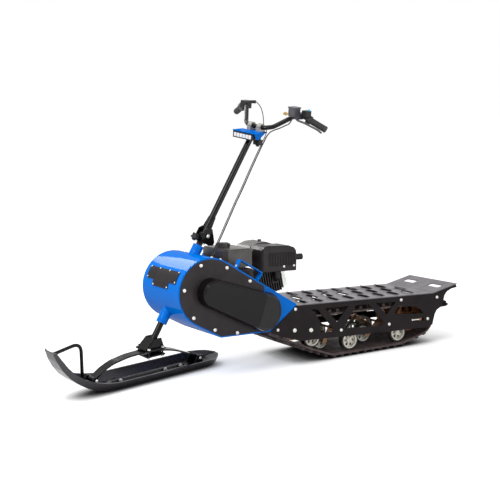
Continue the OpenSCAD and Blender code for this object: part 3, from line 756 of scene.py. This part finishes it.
@dataclass
class EngineTrim:
    """Bolts of the muffler's guard."""

    fasteners: Fasteners
    guard_bolts: tuple[Pair, ...] = ((-440, 453), (-496, 455))
    guard_y: float = 120.0
    bolt_r: float = 6.0

    def build(self) -> None:
        """Sets the bolts."""
        seats = [STANCE.seat(Zone.DECK, (x, self.guard_y, z), (0, 1, 0)) for x, z in self.guard_bolts]
        self.fasteners.set("muffler_bolts", self.fasteners.dome(self.bolt_r), Body.CHASSIS, seats)


@dataclass
class SkiTrim:
    """Bolts of the spring's eyes and nuts of its clamp and of the keel under the sole."""

    fasteners: Fasteners
    eyes: tuple[Pair, ...] = ((243.0, 56.0), (-386.0, 46.0))
    eye_y: float = 34.0
    eye_bolt_r: float = 8.0
    clamp_nut_r: float = 7.0
    keel_nut_r: float = 7.5
    clamp_bolts: tuple[Pair, ...] = ((-136, -37.4), (-136, 37.4), (-52, -37.4), (-52, 37.4))
    clamp_top: float = 147.0
    clamp_foot: float = 110.0
    keel_bolts: tuple[float, ...] = (76.0, -195.0, -292.0)
    rib_top: float = 13.0

    def build(self) -> None:
        """Sets the bolts and nuts."""
        seats = [STANCE.seat(Zone.SKI, (x, 0, self.rib_top), (0, 0, 1)) for x in self.keel_bolts]
        self.fasteners.set("keel_nuts", self.fasteners.nut(self.keel_nut_r), Body.STEERING, seats)
        seats = [
            STANCE.seat(Zone.SKI, (x, way * self.eye_y, z), (0, way, 0))
            for x, z in self.eyes
            for way in (1, -1)
        ]
        self.fasteners.set("spring_eye_bolts", self.fasteners.dome(self.eye_bolt_r), Body.STEERING, seats)
        seats = [STANCE.seat(Zone.SKI, (x, y, self.clamp_top), (0, 0, 1)) for x, y in self.clamp_bolts]
        seats += [STANCE.seat(Zone.SKI, (x, y, self.clamp_foot), (0, 0, -1)) for x, y in self.clamp_bolts]
        self.fasteners.set("clamp_nuts", self.fasteners.nut(self.clamp_nut_r), Body.STEERING, seats)


@dataclass
class Cockpit:
    """Grips, lamp lenses, fold bolt and the small controls on the bar."""

    fasteners: Fasteners
    bar_bend: Point = (-136, 195, 113)
    bar_tip: Point = (-188, 300, 60)
    grip_from: float = 0.34
    grip_to: float = 1.03
    bore_to: float = 1.005
    grip_r: float = 16.0
    flange_r: float = 21.0
    bore_r: float = 11.05
    rib_pitch: float = 4.0
    lens_count: int = 6
    lens_first: float = -49.0
    lens_pitch: float = 19.6
    lens_seat: Pair = (61.0, 1.5)
    lens_size: Point = (2.6, 17.4, 18.4)
    fold_pin: Point = (0.0, 30.0, 703.0)
    lens_steps: tuple[Pair, ...] = ((2.0, 0.6), (3.0, 0.5))
    bolt_r: float = 9.0
    banjo: Point = (-76.0, 163.0, 120.0)
    banjo_axis: Point = (0.75, -0.65, 0.1)
    banjo_rings: tuple[Pair, ...] = (
        (4, 0), (4, 12), (8, 12), (8, 20), (5, 20), (5, 22), (7, 22), (7, 27), (5.5, 28),
    )
    button: Point = (-140.0, 230.0, 142.0)
    button_rings: tuple[Pair, ...] = ((7, -1), (7, 1.2), (5.6, 1.2), (5.6, 5), (4.8, 6), (3, 6.6))

    def build(self) -> None:
        """Models everything on the bar."""
        for word, way in (("left", 1), ("right", -1)):
            self.grip(word, way)
        self.lenses()
        x, y, z = self.fold_pin
        seats = [STANCE.seat(Zone.STEERED, (x, way * y, z), (0, way, 0)) for way in (1, -1)]
        self.fasteners.set("fold_bolt_heads", self.fasteners.dome(self.bolt_r), Body.STEERING, seats)
        banjo = Bench.turned(list(self.banjo_rings), 18)
        seat = STANCE.seat(Zone.LEVEL, self.banjo, self.banjo_axis)
        Bench.seat(Bench.copies(banjo, [seat]), "hose_banjo", BRASS, Body.COLUMN, "clamp_alloy")
        button = Bench.turned(list(self.button_rings), 20)
        seat = STANCE.seat(Zone.LEVEL, self.button, (0, 0, 1))
        Bench.seat(Bench.copies(button, [seat]), "switch_button", CYAN, Body.COLUMN, "control_plastic")

    def grip(self, word: str, way: int) -> None:
        """Models a ribbed grip as a sleeve with a closed end.

        Args:
            word: the side's name.
            way: 1 on the left and -1 on the right.
        """
        mirror = Vector((1, way, 1))
        bend, tip = Vector(self.bar_bend) * mirror, Vector(self.bar_tip) * mirror
        start = bend.lerp(tip, self.grip_from)
        run = bend.lerp(tip, self.grip_to) - start
        length, bore = run.length, (self.bore_to - self.grip_from) * (tip - bend).length
        rings: list[Pair] = [(self.bore_r, bore), (self.bore_r, 0), (self.flange_r, 0), (self.flange_r, 4)]
        rings.append((self.grip_r, 6))
        for k in range(int((length - 16) / self.rib_pitch)):
            z = 8 + self.rib_pitch * k
            rings += [(self.grip_r - 1.2, z), (self.grip_r - 1.2, z + 1.2), (self.grip_r, z + 1.8)]
            rings.append((self.grip_r, z + self.rib_pitch - 0.6))
        rings += [(self.grip_r, length - 3), (self.grip_r - 3, length)]
        seat = STANCE.seat(Zone.LEVEL, tuple(start), tuple(run))
        grip = Bench.copies(Bench.turned(rings, 28), [seat])
        Bench.seat(grip, f"ribbed_grip_{word}", GRIP_RUBBER, Body.COLUMN, "grip_rubber")
        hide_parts("grips")

    def lenses(self) -> None:
        """Models one lens as a pillow and sets it in each pocket of the lamp."""
        bpy.ops.object.select_all(action="DESELECT")
        bpy.ops.mesh.primitive_cube_add(size=1, scale=self.lens_size)
        lens = bpy.context.object
        bpy.ops.object.transform_apply(location=True, rotation=True, scale=True)
        bpy.ops.object.mode_set(mode="EDIT")
        bpy.ops.mesh.select_all(action="DESELECT")
        bpy.ops.object.mode_set(mode="OBJECT")
        for face in lens.data.polygons:
            face.select = face.normal.x > 0.9
        bpy.ops.object.mode_set(mode="EDIT")
        for step, rise in self.lens_steps:
            bpy.ops.mesh.inset(thickness=step)
            bpy.ops.transform.translate(value=(rise, 0, 0))
        bpy.ops.object.mode_set(mode="OBJECT")
        x, z = self.lens_seat
        level = STANCE.matrix(Zone.LEVEL)
        seats = []
        for k in range(self.lens_count):
            y = self.lens_first + self.lens_pitch * k
            seats.append(level @ Matrix.Translation((x + self.lens_size[0] / 2, y, z)))
        Bench.seat(Bench.copies(lens, seats), "lamp_lenses", LENS, Body.COLUMN, "hub_plastic")


@dataclass
class Cables:
    """Throttle cable and brake hose, from the bar down to the drum."""

    throttle_head: tuple[Point, ...] = (
        (-94, -165, 1447), (-103, -140, 1433), (-101, -105, 1404), (-89, -65, 1365),
        (-74, -25, 1324), (-69, 8, 1303),
    )
    brake_head: tuple[Point, ...] = (
        (-16.6, 176, 1379.8), (-23, 172, 1370), (-47, 145, 1352), (-60, 115, 1343),
        (-69, 78, 1326), (-74, 44, 1311), (-76, 26, 1296),
    )
    upper_run: tuple[Point, ...] = (
        (-72, 23, 1236), (-70, 25, 1185), (-70, 28, 1080), (-70, 32, 994), (-65, 38, 912), (-61, 46, 827),
        (-55, 56, 741), (-52, 60, 711.75),
    )
    lower_run: tuple[Point, ...] = ((-52, 60, 711.75), (-49, 64, 682), (-45, 72, 630), (-43, 77, 598))
    throttle_shift: Point = (0, -9, 0)
    throttle_r: float = 2.2
    brake_r: float = 3.0
    smooth_angle: float = math.radians(40)
    fold_from: Point = (-70, 32, 994)
    split: Point = (-52, 60, 711.75)
    sway_to: Point = (-44, 75, 606)

    def sweep(self, name: str, points: list[Vector], radius: float) -> bpy.types.Object:
        """Sweeps a round cable along points of the steering frame.

        Args:
            name: the piece's name.
            points: the route.
            radius: the cable's radius.

        Returns:
            The cable as a closed mesh in the row frame.
        """
        bpy.ops.object.select_all(action="DESELECT")
        bpy.ops.curve.primitive_bezier_curve_add()
        obj = bpy.context.object
        obj.data.splines.clear()
        spline = obj.data.splines.new("BEZIER")
        spline.bezier_points.add(len(points) - 1)
        matrix = STANCE.matrix(Zone.STEERED)
        for knot, point in zip(spline.bezier_points, points):
            knot.co = matrix @ point
            knot.handle_left_type = knot.handle_right_type = "AUTO"
        obj.data.bevel_depth = radius * MM
        obj.data.bevel_resolution = 3
        obj.data.use_fill_caps = True
        bpy.ops.object.convert(target="MESH")
        obj = bpy.context.object
        obj.name = obj.data.name = name
        return obj

    def build(self) -> None:
        """Lays both cables in two stretches each, an upper and a lower one."""
        matrix = STANCE.matrix(Zone.STEERED)
        fold, split, sway = (matrix @ Vector(p) for p in (self.fold_from, self.split, self.sway_to))
        stretches = (
            ("upper", self.upper_run, (Body.COLUMN, Body.STEERING), (fold, split)),
            ("lower", self.lower_run, (Body.STEERING, Body.CHASSIS), (split, sway)),
        )
        cables = (
            ("throttle_cable", self.throttle_head, Vector(self.throttle_shift), self.throttle_r),
            ("brake_hose", self.brake_head, Vector((0, 0, 0)), self.brake_r),
        )
        for word, head, shift, radius in cables:
            for part, run, pair, ends in stretches:
                points = [Vector(p) + shift for p in run]
                if part == "upper":
                    points = [Vector(p) for p in head] + points
                obj = self.sweep(f"{word}_{part}", points, radius)
                bpy.ops.object.shade_smooth_by_angle(angle=self.smooth_angle)
                obj.data.materials.clear()
                obj.data.materials.append(CONTROL_NYLON.material())
                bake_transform(obj)
                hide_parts(f"cables_{part}")
                LOG.info("%s: %d faces", obj.name, len(obj.data.polygons))


@dataclass
class Studio:
    """White room, soft light and a camera at the photograph's angle."""

    eye: Point = (3.23913, 4.85857, 1.27940)
    right: Point = (-0.86621, 0.49824, -0.03782)
    up: Point = (-0.09678, -0.09302, 0.99093)
    forward: Point = (-0.49021, -0.86203, -0.12880)
    lens_mm: float = 83.86
    floor_m: float = 80.0
    floor_colour: str = "#DADADA"
    floor_glow: float = 0.46
    # Reach, colour and occlusion range of the floor's painted contact shadow.
    painted_shadow_reach_m: float = 0.1
    painted_shadow_colour: str = "#1E1E1E"
    painted_shadow_range: Pair = (0.2, 0.95)
    room_light: float = 0.44
    sun_way: Point = (-0.2, 0.12, -1.0)
    sun_power: float = 1.25
    sun_spread: float = 55.0
    panels: tuple[tuple[str, Point, Point, Pair, float], ...] = (
        ("overhead_panel", (2.1, 1.5, 2.8), (1.0, 0.0, 0.2), (1.2, 1.2), 24.0),
        ("back_panel", (0.6, -4.2, 2.9), (0.5, 0.0, 0.6), (2.0, 0.8), 70.0),
        ("front_panel", (3.5, 0.9, 2.6), (0.4, 0.0, 0.7), (1.4, 1.8), 66.0),
        ("side_panel", (-1.6, 4.6, 1.1), (0.0, 0.0, 0.8), (1.6, 1.8), 50.0),
    )

    def build(self) -> None:
        """Sets up the camera, the floor, the room and the lights."""
        self.camera()
        self.floor()
        self.room()
        sun = bpy.data.lights.new("soft_sky", "SUN")
        sun.energy, sun.angle = self.sun_power, math.radians(self.sun_spread)
        self.hang("soft_sky", sun, (0, 0, 5), Vector(self.sun_way))
        for name, place, aim, (wide, tall), power in self.panels:
            panel = bpy.data.lights.new(name, "AREA")
            panel.shape, panel.size, panel.size_y, panel.energy = "RECTANGLE", wide, tall, power
            self.hang(name, panel, place, Vector(aim) - Vector(place))
        bpy.context.scene.view_settings.view_transform = "Standard"

    @staticmethod
    def hang(name: str, light: bpy.types.Light, place: Point, way: Vector) -> None:
        """Hangs a light at a place, shining one way."""
        obj = bpy.data.objects.new(name, light)
        obj.location = place
        obj.rotation_euler = way.to_track_quat("-Z", "Y").to_euler()
        bpy.context.scene.collection.objects.link(obj)

    def camera(self) -> None:
        """Sets the camera where the photograph was taken from."""
        data = bpy.data.cameras.new("photo_camera")
        data.lens = self.lens_mm
        obj = bpy.data.objects.new("photo_camera", data)
        columns = (Vector(self.right), Vector(self.up), -Vector(self.forward))
        matrix = Matrix([[column[i] for column in columns] for i in range(3)]).to_4x4()
        matrix.translation = self.eye
        obj.matrix_world = matrix
        bpy.context.scene.collection.objects.link(obj)
        bpy.context.scene.camera = obj

    def floor(self) -> None:
        """Lays a floor that looks white, keeps the object's shadow and carries a painted contact shadow."""
        bpy.ops.object.select_all(action="DESELECT")
        bpy.ops.mesh.primitive_plane_add(size=self.floor_m, location=(0, 0, -0.0005))
        obj = bpy.context.object
        obj.name = "studio_floor"
        made = bpy.data.materials.new("white_studio_floor")
        made.use_nodes = True
        tree = made.node_tree
        tree.nodes.clear()
        # Ambient occlusion darkens the floor's colour and its glow near the object: a painted contact shadow.
        near = add_node(tree, "ShaderNodeAmbientOcclusion", {"samples": 8, "Distance": self.painted_shadow_reach_m})
        dark, bright = self.painted_shadow_range
        clear = add_node(
            tree, "ShaderNodeMapRange", {"From Min": dark, "From Max": bright}, {"Value": near.outputs["AO"]}
        ).outputs["Result"]
        colour = add_node(
            tree,
            "ShaderNodeMix",
            {"data_type": "RGBA", 6: linear(self.painted_shadow_colour), 7: linear(self.floor_colour)},
            {0: clear},
        ).outputs[2]
        looked = self.seen(tree, 0.0, self.floor_glow)
        light = add_node(tree, "ShaderNodeMath", {"operation": "MULTIPLY"}, {0: looked, 1: clear}).outputs[0]
        paint = add_node(tree, "ShaderNodeBsdfDiffuse", None, {"Color": colour})
        glow = add_node(tree, "ShaderNodeEmission", None, {"Strength": light})
        both = add_node(tree, "ShaderNodeAddShader", None, {0: paint.outputs[0], 1: glow.outputs[0]})
        add_node(tree, "ShaderNodeOutputMaterial", None, {"Surface": both.outputs[0]})
        obj.data.materials.append(made)

    @staticmethod
    def seen(tree: bpy.types.NodeTree, other: float, looked: float) -> bpy.types.NodeSocket:
        """Gives one strength to the eye and to mirrors, and another to the rest.

        Args:
            tree: the node tree.
            other: the strength for all other rays.
            looked: the strength for camera, glossy and transmission rays.

        Returns:
            The socket with the strength.
        """
        rays = add_node(tree, "ShaderNodeLightPath").outputs
        share = rays["Is Camera Ray"]
        for word in ("Is Glossy Ray", "Is Transmission Ray"):
            share = add_node(
                tree, "ShaderNodeMath", {"operation": "MAXIMUM"}, {0: share, 1: rays[word]}
            ).outputs[0]
        return add_node(
            tree, "ShaderNodeMapRange", {"To Min": other, "To Max": looked}, {"Value": share}
        ).outputs["Result"]

    def room(self) -> None:
        """Sets a white room round the object."""
        world = bpy.data.worlds.new("white_room")
        world.use_nodes = True
        tree = world.node_tree
        tree.nodes.clear()
        strength = self.seen(tree, self.room_light, 1.0)
        back = add_node(tree, "ShaderNodeBackground", {"Color": linear("#FFFFFF")}, {"Strength": strength})
        add_node(tree, "ShaderNodeOutputWorld", None, {"Surface": back.outputs[0]})
        bpy.context.scene.world = world


@dataclass
class CadNodes:
    """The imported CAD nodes, which keep their shapes and get their finishes."""

    frame: dict[str, Any]

    def dress(self) -> None:
        """Gives each node the finish of its slot, and gloss enamel to the round tubes."""
        slots = {row["node"]: row["material_slot"] for row in self.frame["record"]["subparts"]}
        for name, obj in self.frame["nodes"].items():
            finish = TUBE_ENAMEL if name in TUBE_NODES else NODE_FINISH.get(name, SLOT_FINISH[slots[name]])
            for slot in obj.material_slots:
                slot.material = finish.material()
            LOG.info("%s wears %s", name, finish.name)


def main() -> None:
    """Builds the scene piece by piece."""
    logging.basicConfig(level=logging.INFO, format="%(message)s")
    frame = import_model()
    fasteners = Fasteners()
    Studio().build()
    CadNodes(frame).dress()
    for piece in (
        DrumBody(fasteners),
        DeckFrame(fasteners),
        EngineTrim(fasteners),
        SkiTrim(fasteners),
        Cockpit(fasteners),
        Cables(),
    ):
        piece.build()


if __name__ == "__main__":
    main()
